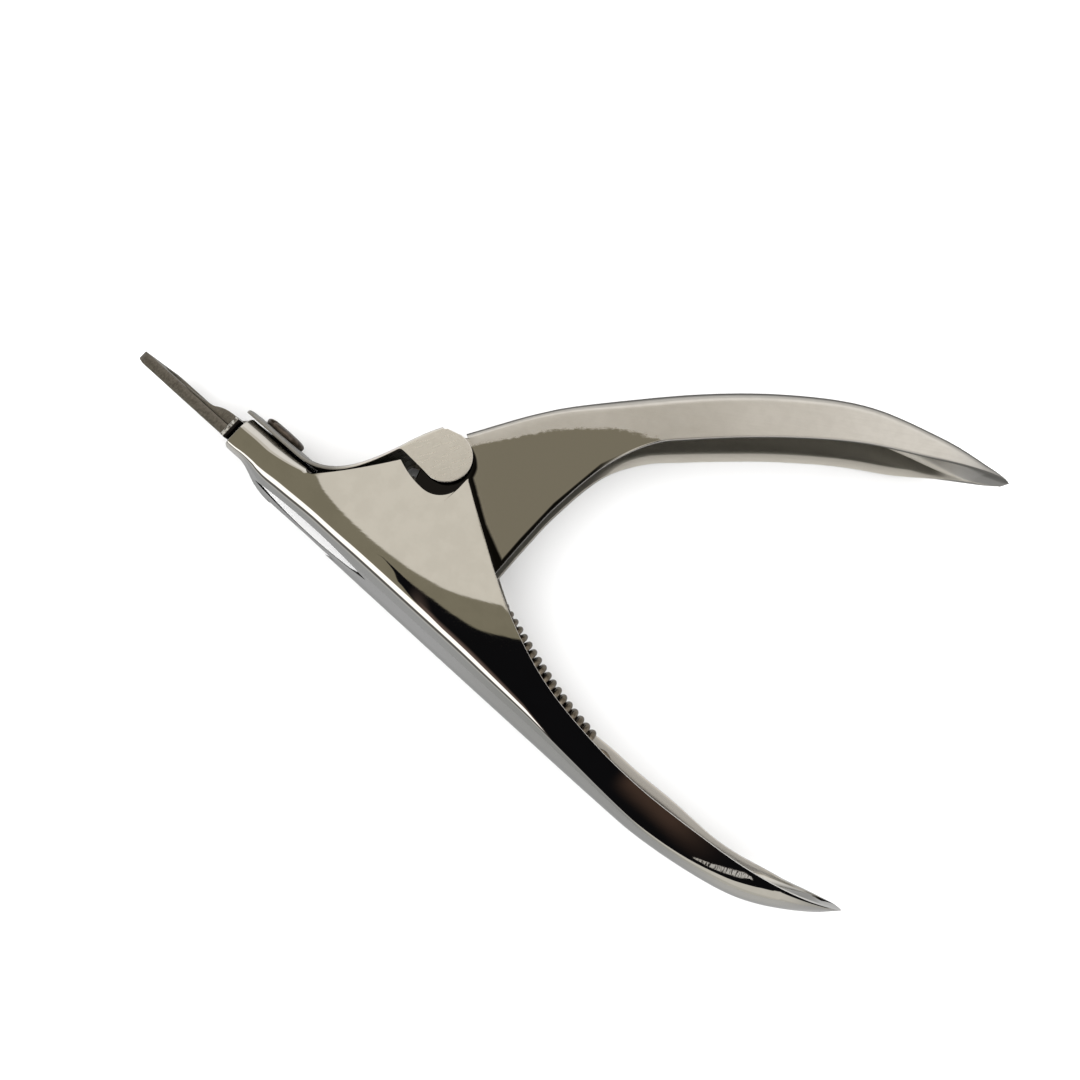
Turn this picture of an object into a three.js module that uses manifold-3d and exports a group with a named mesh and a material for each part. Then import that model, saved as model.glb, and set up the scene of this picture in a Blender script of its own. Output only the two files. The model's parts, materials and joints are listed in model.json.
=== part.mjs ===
// Guillotine clipper for acrylic nail tips, in polished stainless steel.
//
// A folded channel body ends in a flat nose at one side and a curved handle at the other. A sliding
// blade runs on top of a guard plate in the nose. The upper handle is a bell crank: it turns on a pin
// held by the ears of a cover strap, and its arm inside the body pushes the blade over the opening of
// the guard. An extension spring pulls the handle open again.
//
// The clipper lies on its side. X runs from the guard to the lower handle, Y from the lower to the upper
// handle, Z across the width. Lengths are in millimetres, and the pivot is the origin until the last
// lines, which move the origin to the middle of the face the clipper lies on.

import * as THREE from 'three';
import { mergeVertices } from 'three/addons/utils/BufferGeometryUtils.js';
import Module from 'manifold-3d';

const wasm = await Module();
wasm.setup();

// Driving dimensions.
const SHEET = 1.0; // steel sheet of the body and the lever
const BODY_HALF = 6.5; // half the width of the body, outside
const LEVER_HALF = 5.2; // half the width of the lever where it sits inside the body
const GRIP_HALF = 6.1; // half the width of the lever along the grip
const CUT_MARGIN = 2; // how far a cutting tool runs past the face it leaves

const NOSE_FRONT = -25.5;
const NOSE_TOP = -14.85;
const NOSE_BOTTOM = -20.05;
const LOWER_TIP = [82.4, -10.8];
const UPPER_TIP = [63.1, 52.3];

const PLATE_THICK = 1.6; // guard plate and blade
const PLATE_GAP = 0.06;
const GUARD_BOTTOM = NOSE_BOTTOM + SHEET + PLATE_GAP;
const GUARD_TOP = GUARD_BOTTOM + PLATE_THICK;
const BLADE_BOTTOM = GUARD_TOP + PLATE_GAP;
const BLADE_TOP = BLADE_BOTTOM + PLATE_THICK;
const PLATE_HALF = 5.2; // half width of both plates inside the nose
const HEAD_HALF = 6.3; // half width of their heads in front of the nose
const HEAD_FRONT = -26.9;
const HEAD_BACK = -25.75;

const GUARD_TIP = -44.9;
const GUARD_HALF = 5.6;
const NAIL_OPENING = { front: -42.3, back: -33.5, half: 4.0 };

const STROKE = 7.6; // blade travel
const ARM_RADIUS = 16.95; // pivot to drive pin
const ARM_SWING = THREE.MathUtils.degToRad(13); // arm angle behind and ahead of the vertical
const DRIVE_PIN_RADIUS = 1.2;
const PIVOT_RADIUS = 1.5;
const RUNNING_GAP = 0.06;

const SCREW_X = -22.1;
const SCREW_RADIUS = 1.5;
const STRAP_THICK = 0.65;
const EAR_INNER = 5.7;

const HOOK_PIN = [12.5, -10.5];
const ANCHOR_PIN = [44, -18.2];
const SPRING_PIN_RADIUS = 0.9;
const COIL_RADIUS = 2.3; // to the middle of the wire
const WIRE_RADIUS = 0.47;
const COIL_TURNS = 20.5;

const satinSteel = { color: 0xb9b5ac, roughness: 0.32, metalness: 1 };
const mirrorSteel = { color: 0xa9a69d, roughness: 0.12, metalness: 1 };
const groundSteel = { color: 0x6f6c64, roughness: 0.45, metalness: 1 };
const darkSteel = { color: 0x4c443c, roughness: 0.4, metalness: 1 };

const smooth = (x, low, high) => THREE.MathUtils.smoothstep(x, low, high);
const points2 = (pairs) => pairs.map(([x, y]) => new THREE.Vector2(x, y));

// Booleans.
function solid(geometry) {
  const bare = geometry.clone();
  bare.deleteAttribute('normal');
  bare.deleteAttribute('uv');
  const merged = mergeVertices(bare, 1e-4);
  const vertProperties = new Float32Array(merged.attributes.position.array);
  const triVerts = new Uint32Array(merged.index.array);
  return new wasm.Manifold(new wasm.Mesh({ numProp: 3, vertProperties, triVerts }));
}

function meshGeometry(manifold) {
  const mesh = manifold.getMesh();
  const geometry = new THREE.BufferGeometry();
  geometry.setAttribute('position', new THREE.BufferAttribute(mesh.vertProperties, 3));
  geometry.setIndex(new THREE.BufferAttribute(mesh.triVerts, 1));
  geometry.computeVertexNormals();
  return geometry;
}

// Basic solids.
function acrossPlate(shape, low, high, curveSegments = 12) {
  const geometry = new THREE.ExtrudeGeometry(shape, {
    depth: high - low,
    bevelEnabled: false,
    curveSegments,
  });
  return solid(geometry.translate(0, 0, low));
}

// A plate that lies flat in the nose: its outline is drawn in X and Z.
function flatPlate(shape, low, high, curveSegments = 12) {
  const geometry = new THREE.ExtrudeGeometry(shape, {
    depth: high - low,
    bevelEnabled: false,
    curveSegments,
  });
  return solid(geometry.rotateX(Math.PI / 2).translate(0, high, 0));
}

function crossPin([x, y], radius, halfLength, segments = 32) {
  const geometry = new THREE.CylinderGeometry(radius, radius, 2 * halfLength, segments);
  return solid(geometry.rotateX(Math.PI / 2).translate(x, y, 0));
}

function uprightHole(x, radius, low, high) {
  const geometry = new THREE.CylinderGeometry(radius, radius, high - low, 32);
  return solid(geometry.translate(x, (low + high) / 2, 0));
}

function block([x0, x1], [y0, y1], [z0, z1]) {
  const geometry = new THREE.BoxGeometry(x1 - x0, y1 - y0, z1 - z0);
  return solid(geometry.translate((x0 + x1) / 2, (y0 + y1) / 2, (z0 + z1) / 2));
}

// A bar with a rounded back, bent along a spine. The cross-section is a half disc, the crown, on a
// straight part. It is drawn one unit wide and then sized at every step: crown(point) is the height of
// the rounded part, depth(point) the height of the whole, halfWidth(point) half the width, and
// inward(point, tangent) points from the back into the channel. skin shrinks the bar on its back and
// sides, so that a bar with skin 0 minus one with skin SHEET leaves a channel of even thickness.
function bentBar({ spine, inward, crown, depth, halfWidth, steps }, skin, end = 1) {
  const section = new THREE.Shape();
  section.moveTo(1, 1);
  section.lineTo(-1, 1);
  section.lineTo(-1, 0);
  section.absarc(0, 0, 1, Math.PI, 2 * Math.PI, false);
  section.lineTo(1, 1);
  const geometry = new THREE.ExtrudeGeometry(section, {
    depth: 1,
    steps,
    bevelEnabled: false,
    curveSegments: 7,
  });
  const position = geometry.attributes.position;
  for (let i = 0; i < position.count; i += 1) {
    const along = position.getZ(i) * end;
    const point = spine.getPointAt(along);
    const tangent = spine.getTangentAt(along);
    const into = inward(point, tangent);
    const height = position.getY(i);
    const round = Math.max(crown(point) - skin, 0.01);
    const straight = depth(point) - crown(point);
    const rise = skin + round * (1 + Math.min(height, 0)) + straight * Math.max(height, 0);
    const half = Math.max(halfWidth(point) - skin, 0.05);
    const side = Math.sign(into.x * tangent.y - into.y * tangent.x);
    position.setXYZ(
      i,
      point.x + into.x * rise,
      point.y + into.y * rise,
      side * position.getX(i) * half,
    );
  }
  return solid(geometry);
}

// Lower handle and nose: one folded channel, open towards +Y.
function backLine() {
  const line = new THREE.CurvePath();
  const nose = new THREE.Vector2(-23.2, NOSE_BOTTOM);
  line.add(new THREE.LineCurve(new THREE.Vector2(-29, NOSE_BOTTOM), nose));
  line.add(new THREE.CubicBezierCurve(nose, ...points2([
    [-21, NOSE_BOTTOM],
    [-20.6, -21.9],
    [-16.5, -22],
  ])));
  line.add(new THREE.SplineCurve(points2([
    [-16.5, -22],
    [-5, -22.2],
    [20, -22.35],
    [46, -22.4],
    [56, -22.05],
    [66.7, -20.3],
    [73, -18],
    [79, -14.1],
    LOWER_TIP,
  ])));
  return line;
}

const bodyBar = {
  spine: backLine(),
  inward: (point) => {
    const lean = Math.PI / 2 + 0.85 * smooth(point.x, 52, LOWER_TIP[0]);
    return new THREE.Vector2(Math.cos(lean), Math.sin(lean));
  },
  crown: (point) => 0.9 + 2.8 * smooth(point.x, -23.5, -17) - 1.6 * smooth(point.x, 18, 52),
  depth: (point) => 25 - 16.5 * smooth(point.x, 5, 52),
  halfWidth: (point) => {
    const taper = BODY_HALF - 1.4 * smooth(point.x, 34, 74);
    const bow = THREE.MathUtils.clamp((point.x - 70) / (LOWER_TIP[0] - 69.7), 0, 1);
    return taper * Math.sqrt(1 - bow * bow);
  },
  steps: 44,
};

function bodySideView() {
  const shape = new THREE.Shape();
  shape.moveTo(NOSE_FRONT, -25);
  shape.lineTo(LOWER_TIP[0] + CUT_MARGIN, -25);
  shape.lineTo(LOWER_TIP[0] + CUT_MARGIN, LOWER_TIP[1] + 0.3);
  shape.splineThru(points2([
    LOWER_TIP,
    [74, -12.9],
    [62, -15.3],
    [50, -16.35],
    [40, -16.1],
    [30, -14.3],
    [20, -10.3],
    [10, -4.4],
    [3.6, -0.1],
  ]));
  shape.absarc(0.1, -1.9, 3.9, 0.48, -Math.PI / 2, true); // notch below the ear of the strap
  shape.lineTo(-4.9, -4.75);
  shape.quadraticCurveTo(-9.2, -10.9, -13, NOSE_TOP);
  shape.lineTo(NOSE_FRONT, NOSE_TOP);
  return shape;
}

// A long narrow window through both shoulders of the back.
function backWindow() {
  const shape = new THREE.Shape();
  shape.moveTo(-18.4, -20.5);
  shape.quadraticCurveTo(-7.7, -21.95, 2.9, -20.5);
  shape.quadraticCurveTo(-7.7, -19.45, -18.4, -20.5);
  return acrossPlate(shape, -BODY_HALF - CUT_MARGIN, BODY_HALF + CUT_MARGIN, 16);
}

function bodyFrame() {
  const sideCut = acrossPlate(bodySideView(), -BODY_HALF - CUT_MARGIN, BODY_HALF + CUT_MARGIN, 9);
  const hollow = bentBar(bodyBar, SHEET, 0.955);
  const lipRange = [NOSE_TOP - 0.65, NOSE_TOP];
  const lip = (z0, z1) => block([NOSE_FRONT, -13.6], lipRange, [z0, z1]);
  return bentBar(bodyBar, 0)
    .subtract(hollow)
    .intersect(sideCut)
    .add(lip(4.2, BODY_HALF - SHEET / 2))
    .add(lip(-BODY_HALF + SHEET / 2, -4.2))
    .subtract(backWindow())
    .subtract(uprightHole(SCREW_X, SCREW_RADIUS + RUNNING_GAP, -22, -17));
}

// Upper handle: a channel whose back is the outer side of the grip. Its spine starts well below the
// pivot, so that the flat walls reach down to the drive pin.
const leverBar = {
  spine: new THREE.SplineCurve(points2([
    [-12.5, -13.2],
    [-6.8, -3.9],
    [-1.3, 4.9],
    [4.1, 13.5],
    [9.2, 20.1],
    [19.2, 30.8],
    [29.3, 39.7],
    [39.5, 46.4],
    [49.8, 49.9],
    [57, 51.3],
    UPPER_TIP,
  ])),
  inward: (point, tangent) => new THREE.Vector2(tangent.y, -tangent.x),
  crown: (point) => 1.3 + 0.7 * smooth(point.x, 5, 25),
  depth: (point) => 24 - 16 * smooth(point.x, 8, 30),
  halfWidth: (point) => {
    const flare = LEVER_HALF + (GRIP_HALF - LEVER_HALF) * smooth(point.x, 10, 26);
    const taper = flare - 1.1 * smooth(point.x, 36, 58);
    const bow = THREE.MathUtils.clamp((point.x - 53) / (UPPER_TIP[0] - 52.7), 0, 1);
    return taper * Math.sqrt(1 - bow * bow);
  },
  steps: 36,
};

const drivePinRest = [ARM_RADIUS * Math.sin(ARM_SWING), -ARM_RADIUS * Math.cos(ARM_SWING)];

function leverSideView() {
  const shape = new THREE.Shape();
  const [driveX, driveY] = drivePinRest;
  shape.moveTo(-3.25, -1);
  shape.lineTo(driveX - 2, driveY);
  shape.absarc(driveX, driveY, 2, Math.PI, 1.75 * Math.PI, false);
  shape.quadraticCurveTo(9, -14.6, 13.6, -12.9);
  shape.quadraticCurveTo(15.6, -12, 15.7, -9.4);
  shape.splineThru(points2([
    [15.6, -2],
    [15.8, 5],
    [16.9, 13],
    [20, 20.6],
    [30, 30.8],
    [40, 38.8],
    [50, 45],
    [57, 48.8],
    UPPER_TIP,
  ]));
  shape.lineTo(UPPER_TIP[0] + CUT_MARGIN, UPPER_TIP[1] + CUT_MARGIN);
  shape.lineTo(20, 54);
  shape.lineTo(-2.2, 10);
  shape.lineTo(-1.4, 3.1);
  shape.absarc(0, 0, 3.4, 1.99, 3.44, false);
  return shape;
}

function leverHandle() {
  const sideCut = acrossPlate(leverSideView(), -GRIP_HALF - CUT_MARGIN, GRIP_HALF + CUT_MARGIN, 8);
  const hollow = bentBar(leverBar, SHEET, 0.945);
  const bore = (place, radius) => crossPin(place, radius + RUNNING_GAP, GRIP_HALF + CUT_MARGIN);
  return bentBar(leverBar, 0)
    .subtract(hollow)
    .intersect(sideCut)
    .subtract(bore([0, 0], PIVOT_RADIUS))
    .subtract(bore(drivePinRest, DRIVE_PIN_RADIUS))
    .subtract(bore(HOOK_PIN, SPRING_PIN_RADIUS));
}

// Cover strap: runs over the nose, climbs in front of the cheeks and folds down as two ears.
function strapPath() {
  const path = new THREE.CurvePath();
  path.add(new THREE.LineCurve(new THREE.Vector2(-26, -14.08), new THREE.Vector2(-16.5, -13.98)));
  path.add(new THREE.CubicBezierCurve(...points2([
    [-16.5, -13.98],
    [-11.2, -13.9],
    [-8.9, -9.8],
    [-6.5, -3.5],
  ])));
  path.add(new THREE.QuadraticBezierCurve(...points2([
    [-6.5, -3.5],
    [-5.2, 0.4],
    [-3.7, 2.75],
  ])));
  return path;
}

function ribbon(path, thickness, pieces) {
  const outer = [];
  const inner = [];
  for (let i = 0; i <= pieces; i += 1) {
    const point = path.getPointAt(i / pieces);
    const tangent = path.getTangentAt(i / pieces);
    const normal = new THREE.Vector2(-tangent.y, tangent.x).multiplyScalar(thickness / 2);
    outer.push(point.clone().add(normal));
    inner.unshift(point.clone().sub(normal));
  }
  return new THREE.Shape([...outer, ...inner]);
}

function coverStrap() {
  const ear = new THREE.Shape();
  ear.moveTo(-6.6, -3.6);
  ear.lineTo(-1.04, -3.84);
  ear.absarc(-0.4, -0.2, 3.7, -1.745, 1.745, false);
  ear.lineTo(-3.9, 3);
  ear.quadraticCurveTo(-5.4, 0.6, -6.6, -3.6);
  const seat = crossPin([0, 0], PIVOT_RADIUS + RUNNING_GAP, EAR_INNER + 0.4);
  const sheet = acrossPlate(ribbon(strapPath(), STRAP_THICK, 36), -BODY_HALF, BODY_HALF);
  return sheet
    .add(acrossPlate(ear, EAR_INNER, BODY_HALF, 16))
    .add(acrossPlate(ear, -BODY_HALF, -EAR_INNER, 16))
    .subtract(seat)
    .subtract(uprightHole(SCREW_X, SCREW_RADIUS + RUNNING_GAP, -16, -12));
}

// Outline of a plate in the nose, seen from above: a narrow front, the head and the tail.
function headedOutline(front, half, back) {
  const shape = new THREE.Shape();
  const corner = 0.6;
  shape.moveTo(back, -PLATE_HALF);
  shape.lineTo(back, PLATE_HALF);
  shape.lineTo(HEAD_BACK, PLATE_HALF);
  shape.lineTo(HEAD_BACK, HEAD_HALF);
  shape.lineTo(HEAD_FRONT + corner, HEAD_HALF);
  shape.quadraticCurveTo(HEAD_FRONT, HEAD_HALF, HEAD_FRONT, HEAD_HALF - corner);
  shape.lineTo(HEAD_FRONT, half);
  front(shape);
  shape.lineTo(HEAD_FRONT, -half);
  shape.lineTo(HEAD_FRONT, -HEAD_HALF + corner);
  shape.quadraticCurveTo(HEAD_FRONT, -HEAD_HALF, HEAD_FRONT + corner, -HEAD_HALF);
  shape.lineTo(HEAD_BACK, -HEAD_HALF);
  shape.lineTo(HEAD_BACK, -PLATE_HALF);
  return shape;
}

function guardPlate() {
  const corner = 2.6;
  const shape = headedOutline((outline) => {
    outline.lineTo(GUARD_TIP + corner, GUARD_HALF);
    outline.quadraticCurveTo(GUARD_TIP + 0.3, GUARD_HALF, GUARD_TIP + 0.3, GUARD_HALF - corner);
    outline.quadraticCurveTo(GUARD_TIP, 0, GUARD_TIP + 0.3, corner - GUARD_HALF);
    outline.quadraticCurveTo(GUARD_TIP + 0.3, -GUARD_HALF, GUARD_TIP + corner, -GUARD_HALF);
  }, GUARD_HALF, -9);
  const { front, back, half } = NAIL_OPENING;
  const opening = new THREE.Path();
  opening.moveTo(back, -half);
  opening.lineTo(back, half);
  opening.lineTo(front + half, half);
  opening.absarc(front + half, 0, half, Math.PI / 2, 1.5 * Math.PI, false);
  opening.lineTo(back, -half);
  shape.holes.push(opening);
  // The tip is ground thinner on its lower corner.
  const grind = new THREE.Shape(points2([
    [GUARD_TIP - 1, GUARD_BOTTOM - 1],
    [GUARD_TIP + 1.8, GUARD_BOTTOM - 1],
    [GUARD_TIP + 1.8, GUARD_BOTTOM],
    [GUARD_TIP - 1, GUARD_BOTTOM + 0.9],
  ]));
  return flatPlate(shape, GUARD_BOTTOM, GUARD_TOP, 10)
    .subtract(acrossPlate(grind, -HEAD_HALF - CUT_MARGIN, HEAD_HALF + CUT_MARGIN))
    .subtract(uprightHole(SCREW_X, SCREW_RADIUS + RUNNING_GAP, -22, -17));
}

// Sliding blade. Its hollow-ground edge stands over the guard, a slot lets it pass the screw, and a
// lug at its tail takes the drive pin.
function cuttingBlade() {
  const edgeX = -35.8;
  const edgeHollow = 0.8;
  const tailHalf = 3.9;
  const tailStart = -9.6;
  const lugEnd = drivePinRest[0] + 3.6;
  const shape = headedOutline((outline) => {
    outline.lineTo(edgeX, GUARD_HALF - 0.2);
    outline.quadraticCurveTo(edgeX + 2 * edgeHollow, 0, edgeX, 0.2 - GUARD_HALF);
  }, GUARD_HALF - 0.2, tailStart);
  const slotHalf = SCREW_RADIUS + 0.2;
  const slot = new THREE.Path();
  slot.absarc(SCREW_X, 0, slotHalf, Math.PI / 2, 1.5 * Math.PI, false);
  slot.absarc(SCREW_X + STROKE, 0, slotHalf, -Math.PI / 2, Math.PI / 2, false);
  shape.holes.push(slot);
  // The ramp down to the cutting lip.
  const bevel = new THREE.Shape();
  bevel.moveTo(edgeX - 1, BLADE_BOTTOM + 0.12);
  bevel.lineTo(edgeX, BLADE_BOTTOM + 0.12);
  bevel.quadraticCurveTo(-31.6, BLADE_BOTTOM + 0.15, -30.4, BLADE_BOTTOM + 0.75);
  bevel.quadraticCurveTo(-29.3, BLADE_TOP - 0.1, -27.6, BLADE_TOP);
  bevel.lineTo(-27.6, BLADE_TOP + 1);
  bevel.lineTo(edgeX - 1, BLADE_TOP + 1);
  const pinSlot = block(
    [drivePinRest[0] - DRIVE_PIN_RADIUS - 0.07, drivePinRest[0] + DRIVE_PIN_RADIUS + 0.07],
    [drivePinRest[1] - DRIVE_PIN_RADIUS - 0.6, drivePinRest[1] + DRIVE_PIN_RADIUS + 0.15],
    [-tailHalf - 1, tailHalf + 1],
  );
  return flatPlate(shape, BLADE_BOTTOM, BLADE_TOP, 10)
    .subtract(acrossPlate(bevel, -HEAD_HALF - CUT_MARGIN, HEAD_HALF + CUT_MARGIN))
    .add(block([tailStart - 0.5, 0], [BLADE_BOTTOM, BLADE_TOP], [-tailHalf, tailHalf]))
    .add(block([-0.4, lugEnd], [-19.1, -14.2], [-tailHalf, tailHalf]))
    .subtract(pinSlot);
}

// Fills the space between the blade and the strap, so that the screw can clamp the strap hard.
function spacerBlock() {
  const side = new THREE.Shape(points2([
    [-26.9, BLADE_TOP + 0.08],
    [-14, BLADE_TOP + 0.08],
    [-14, -14.5],
    [-25.6, -14.5],
  ]));
  return acrossPlate(side, -3.6, 3.6)
    .subtract(uprightHole(SCREW_X, SCREW_RADIUS + RUNNING_GAP, -17, -12));
}

function clampScrew() {
  const headBottom = -13.6;
  const headRadius = 3.3;
  const headHeight = 1.25;
  const profile = new THREE.Path();
  profile.moveTo(0, NOSE_BOTTOM + 0.05);
  profile.lineTo(SCREW_RADIUS, NOSE_BOTTOM + 0.05);
  profile.lineTo(SCREW_RADIUS, headBottom);
  profile.lineTo(headRadius - 0.25, headBottom);
  profile.quadraticCurveTo(headRadius, headBottom, headRadius, headBottom + 0.35);
  profile.bezierCurveTo(
    headRadius, headBottom + 1.1,
    headRadius * 0.95, headBottom + headHeight,
    0, headBottom + headHeight,
  );
  const geometry = new THREE.LatheGeometry(profile.getPoints(6), 40);
  const slotTurn = -34; // degrees
  const slot = block([-0.45, 0.45], [headBottom + 0.6, headBottom + 2], [-4, 4]);
  return solid(geometry)
    .subtract(slot.rotate([0, slotTurn, 0]))
    .translate([SCREW_X, 0, 0]);
}

function pivotWasher(side) {
  const ring = new THREE.Shape();
  ring.absarc(0, 0, 2.9, 0, 2 * Math.PI, false);
  const hole = new THREE.Path();
  hole.absarc(0, 0, PIVOT_RADIUS + RUNNING_GAP, 0, 2 * Math.PI, true);
  ring.holes.push(hole);
  const inner = LEVER_HALF + 0.1;
  const outer = EAR_INNER - 0.1;
  return side > 0 ? acrossPlate(ring, inner, outer, 32) : acrossPlate(ring, -outer, -inner, 32);
}

// Wire of the spring: a loop round each pin, and a close coil between them.
function springPath() {
  const start = new THREE.Vector3(...HOOK_PIN, 0);
  const end = new THREE.Vector3(...ANCHOR_PIN, 0);
  const along = end.clone().sub(start).normalize();
  const up = new THREE.Vector3(-along.y, along.x, 0);
  const across = new THREE.Vector3(0, 0, 1);
  const middle = start.clone().add(end).multiplyScalar(0.5);
  const span = start.distanceTo(end);
  const loopRadius = SPRING_PIN_RADIUS + WIRE_RADIUS + 0.12;
  const lead = 3;
  const at = (a, b, c) => start.clone().addScaledVector(along, a)
    .addScaledVector(up, b)
    .addScaledVector(across, c);
  const loop = [];
  for (let degrees = -25; degrees >= -270; degrees -= 24.5) {
    const angle = THREE.MathUtils.degToRad(degrees);
    loop.push(at(loopRadius * Math.cos(angle), loopRadius * Math.sin(angle), 0));
  }
  const coil = [];
  const coilSteps = Math.round(COIL_TURNS * 10);
  for (let i = 0; i <= coilSteps; i += 1) {
    const turn = (i / coilSteps) * COIL_TURNS * 2 * Math.PI;
    const travel = lead + (i / coilSteps) * (span - 2 * lead);
    coil.push(at(travel, COIL_RADIUS * Math.cos(turn), COIL_RADIUS * Math.sin(turn)));
  }
  // The far loop is the near one turned half round about the middle of the spring.
  const farLoop = loop.map((p) => new THREE.Vector3(2 * middle.x - p.x, 2 * middle.y - p.y, 0));
  return new THREE.CatmullRomCurve3([...loop, ...coil, ...farLoop.reverse()]);
}

function returnSpring() {
  const wire = new THREE.Shape();
  wire.absarc(0, 0, WIRE_RADIUS, 0, 2 * Math.PI, false);
  const path = springPath();
  const geometry = new THREE.ExtrudeGeometry(wire, {
    steps: path.points.length,
    curveSegments: 3,
    extrudePath: path,
    bevelEnabled: false,
  });
  return solid(geometry);
}

const clipper = new THREE.Group();

function addPart(name, manifold, look) {
  const mesh = new THREE.Mesh(meshGeometry(manifold), new THREE.MeshStandardMaterial(look));
  mesh.name = name;
  clipper.add(mesh);
}

addPart('body_frame', bodyFrame(), mirrorSteel);
addPart('guard_plate', guardPlate(), groundSteel);
addPart('cutting_blade', cuttingBlade(), groundSteel);
addPart('spacer_block', spacerBlock(), satinSteel);
addPart('cover_strap', coverStrap(), satinSteel);
addPart('clamp_screw', clampScrew(), darkSteel);
addPart('pivot_pin', crossPin([0, 0], PIVOT_RADIUS, EAR_INNER + 0.3), groundSteel);
addPart('pivot_washer_near', pivotWasher(1), groundSteel);
addPart('pivot_washer_far', pivotWasher(-1), groundSteel);
addPart('lever_handle', leverHandle(), satinSteel);
addPart('drive_pin', crossPin(drivePinRest, DRIVE_PIN_RADIUS, LEVER_HALF - 0.05), groundSteel);
addPart('spring_hook_pin', crossPin(HOOK_PIN, SPRING_PIN_RADIUS, LEVER_HALF - 0.05), groundSteel);
addPart('spring_anchor_pin', crossPin(ANCHOR_PIN, SPRING_PIN_RADIUS, 5.1), groundSteel);
addPart('return_spring', returnSpring(), satinSteel);

// The origin goes to the middle of the face that the clipper lies on.
const extent = new THREE.Box3().setFromObject(clipper);
const middle = extent.getCenter(new THREE.Vector3());
clipper.position.set(-middle.x, -middle.y, -extent.min.z);

export default clipper;
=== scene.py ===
"""Guillotine clipper for artificial nail tips, lying on its side on a pale floor.

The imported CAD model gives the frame: bodies, joints and the box of every node. Each visible piece is built
here in millimetres from the pivot, as a smooth, closed mesh, and stands for one CAD node.
"""

import json
import math

import bmesh
import bpy
import numpy as np
from mathutils import Matrix, Vector


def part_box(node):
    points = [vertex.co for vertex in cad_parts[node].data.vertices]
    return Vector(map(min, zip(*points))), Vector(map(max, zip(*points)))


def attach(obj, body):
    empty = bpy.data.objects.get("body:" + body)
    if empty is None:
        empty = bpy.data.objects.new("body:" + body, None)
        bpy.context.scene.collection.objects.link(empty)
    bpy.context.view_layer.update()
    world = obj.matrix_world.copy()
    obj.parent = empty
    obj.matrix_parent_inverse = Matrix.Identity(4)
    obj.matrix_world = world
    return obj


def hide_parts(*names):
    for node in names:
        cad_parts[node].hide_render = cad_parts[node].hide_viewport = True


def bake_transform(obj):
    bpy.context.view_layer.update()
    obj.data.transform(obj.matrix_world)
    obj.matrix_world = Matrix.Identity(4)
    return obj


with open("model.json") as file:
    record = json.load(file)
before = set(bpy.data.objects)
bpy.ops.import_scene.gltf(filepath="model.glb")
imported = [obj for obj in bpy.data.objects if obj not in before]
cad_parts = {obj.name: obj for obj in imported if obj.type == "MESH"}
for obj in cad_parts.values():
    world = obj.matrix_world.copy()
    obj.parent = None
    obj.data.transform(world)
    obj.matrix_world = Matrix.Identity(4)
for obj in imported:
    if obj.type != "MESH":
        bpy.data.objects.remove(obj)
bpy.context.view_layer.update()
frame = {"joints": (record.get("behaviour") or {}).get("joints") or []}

MM = 0.001
HINGE = next(j for j in frame["joints"] if j["name"] == "lever_hinge")
PIVOT = Vector(HINGE["pos_m"])


def node_box(name):
    """Lowest and highest corner of a CAD node, in millimetres from the pivot."""
    low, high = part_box(name)
    return (low - PIVOT) / MM, (high - PIVOT) / MM


BODY_LOW, BODY_HIGH = node_box("body_frame")
LEVER_HIGH = node_box("lever_handle")[1]
GUARD_LOW, GUARD_HIGH = node_box("guard_plate")
BLADE_LOW, BLADE_HIGH = node_box("cutting_blade")
STRAP_LOW = node_box("cover_strap")[0]
SPACER_LOW, SPACER_HIGH = node_box("spacer_block")
SCREW_LOW, SCREW_HIGH = node_box("clamp_screw")
SPRING_HOOK = sum(node_box("spring_hook_pin"), Vector()) / 2
SPRING_ANCHOR = sum(node_box("spring_anchor_pin"), Vector()) / 2
DRIVE_PIN = sum(node_box("drive_pin"), Vector()) / 2

SHEET = 1.0
GAP = 0.06
BODY_HALF = BODY_HIGH.z
LEVER_HALF = 5.2
GRIP_HALF = LEVER_HIGH.z
NOSE_FRONT = BODY_LOW.x + 0.5
NOSE_TOP = -14.85
NOSE_BOTTOM = GUARD_LOW.y - SHEET - GAP
LOWER_TIP = (BODY_HIGH.x - 0.1, -10.8)
UPPER_TIP = (LEVER_HIGH.x - 0.1, LEVER_HIGH.y - 0.25)


# -------- numbers and curves


def ease(x, low, high):
    """0 below low, 1 above high, smooth between them."""
    t = clamp((x - low) / (high - low))
    return t * t * (3 - 2 * t)


def clamp(t):
    return min(max(t, 0.0), 1.0)


def mix(a, b, t):
    return a + (b - a) * t


def spline(points, count):
    """count points along a smooth line through the given points (Catmull-Rom)."""
    pts = np.array(points, float)
    ends = np.vstack([2 * pts[0] - pts[1], pts, 2 * pts[-1] - pts[-2]])
    out = []
    for k in np.linspace(0, len(pts) - 1, count):
        i = min(int(k), len(pts) - 2)
        t = k - i
        a, b, c, d = ends[i : i + 4]
        out.append(
            0.5 * (2 * b + (c - a) * t + (2 * a - 5 * b + 4 * c - d) * t**2
                   + (3 * b - a - 3 * c + d) * t**3)
        )
    return np.array(out)


def bezier(*corners_and_count):
    """Points of a Bezier curve: its corners, then how many points. Two corners give a straight line."""
    *rows, count = corners_and_count
    t = np.linspace(0, 1, count)[:, None]
    rows = [np.array(corner, float) + 0 * t for corner in rows]
    while len(rows) > 1:
        rows = [a * (1 - t) + b * t for a, b in zip(rows, rows[1:])]
    return rows[0]


def arc(centre, radius, start, stop, count):
    """Points of an arc; angles in degrees."""
    angle = np.radians(np.linspace(start, stop, count))
    return np.array(centre) + radius * np.stack([np.cos(angle), np.sin(angle)], 1)


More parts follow.
